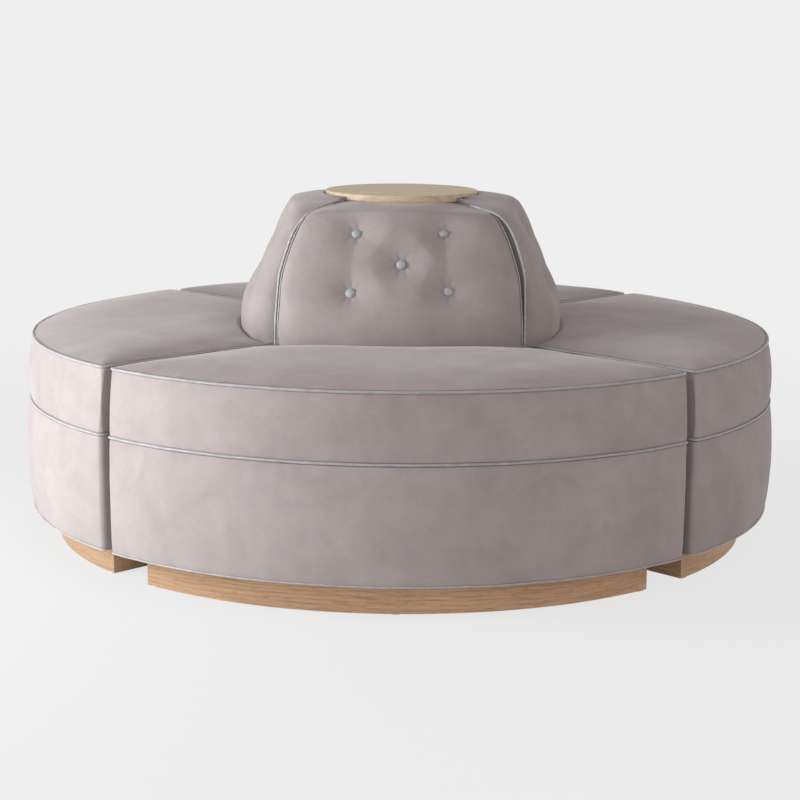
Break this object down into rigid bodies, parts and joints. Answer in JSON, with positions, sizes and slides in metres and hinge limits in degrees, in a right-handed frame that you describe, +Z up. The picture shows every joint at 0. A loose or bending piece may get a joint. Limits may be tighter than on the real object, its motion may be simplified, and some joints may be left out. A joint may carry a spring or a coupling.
{
  "type": "round conversation sofa",
  "caption": "Round settee of quarter-circle modules with tufted backs that lean on a shared middle, piped edges, a recessed oak plinth and a small oak table top.",
  "frame": {"origin": "on the floor, in the middle of the round plan where the four modules meet", "axes": "+Z up; -Y towards the front module, the one that faces the picture's camera; +X to that viewer's right"},
  "size_m": [1.8556, 1.8556, 0.84],
  "materials": {
    "velvet": "matt cotton velvet with a soft nap sheen",
    "piping": "satin piping and button cloth",
    "plinth_oak": "clear satin lacquer, grain along the boards",
    "table_oak": "clear matt lacquer",
    "frame_plywood": "raw",
    "webbing": "woven elastic strap",
    "dust_cloth": "black cambric",
    "glide_nylon": "plain",
    "screw_steel": "zinc plated"
  },
  "bodies": {
    "rear_module": {"rear_plinth_front": "plinth_oak", "rear_plinth_sides": "plinth_oak", "rear_plinth_glides": "glide_nylon", "rear_base_frame": "frame_plywood", "rear_base_cover": "velvet", "rear_base_welts": "piping", "rear_dust_cover": "dust_cloth", "rear_seat_webbing": "webbing", "rear_seat_cushion": "velvet", "rear_seat_welt": "piping", "rear_back_frame": "frame_plywood", "rear_back_cushion": "velvet", "rear_back_welts": "piping", "rear_back_buttons": "piping"},
    "front_module": {"front_plinth_front": "plinth_oak", "front_plinth_sides": "plinth_oak", "front_plinth_glides": "glide_nylon", "front_base_frame": "frame_plywood", "front_base_cover": "velvet", "front_base_welts": "piping", "front_dust_cover": "dust_cloth", "front_seat_webbing": "webbing", "front_seat_cushion": "velvet", "front_seat_welt": "piping", "front_back_frame": "frame_plywood", "front_back_cushion": "velvet", "front_back_welts": "piping", "front_back_buttons": "piping"},
    "right_module": {"right_plinth_front": "plinth_oak", "right_plinth_sides": "plinth_oak", "right_plinth_glides": "glide_nylon", "right_base_frame": "frame_plywood", "right_base_cover": "velvet", "right_base_welts": "piping", "right_dust_cover": "dust_cloth", "right_seat_webbing": "webbing", "right_seat_cushion": "velvet", "right_seat_welt": "piping", "right_back_frame": "frame_plywood", "right_back_cushion": "velvet", "right_back_welts": "piping", "right_back_buttons": "piping"},
    "left_module": {"left_plinth_front": "plinth_oak", "left_plinth_sides": "plinth_oak", "left_plinth_glides": "glide_nylon", "left_base_frame": "frame_plywood", "left_base_cover": "velvet", "left_base_welts": "piping", "left_dust_cover": "dust_cloth", "left_seat_webbing": "webbing", "left_seat_cushion": "velvet", "left_seat_welt": "piping", "left_back_frame": "frame_plywood", "left_back_cushion": "velvet", "left_back_welts": "piping", "left_back_buttons": "piping"},
    "table": {"table_top": "table_oak", "table_hub": "table_oak", "table_screws": "screw_steel"}
  },
  "joints": [
    {"name": "front_pull", "type": "slide", "parent": "rear_module", "child": "front_module", "axis": [0, -1, 0], "range_m": [0, 0.45]},
    {"name": "right_pull", "type": "slide", "parent": "rear_module", "child": "right_module", "axis": [1, 0, 0], "range_m": [0, 0.45]},
    {"name": "left_pull", "type": "slide", "parent": "rear_module", "child": "left_module", "axis": [-1, 0, 0], "range_m": [0, 0.45]},
    {"name": "table_lift", "type": "slide", "parent": "rear_module", "child": "table", "axis": [0, 0, 1], "range_m": [0, 0.12]}
  ]
}
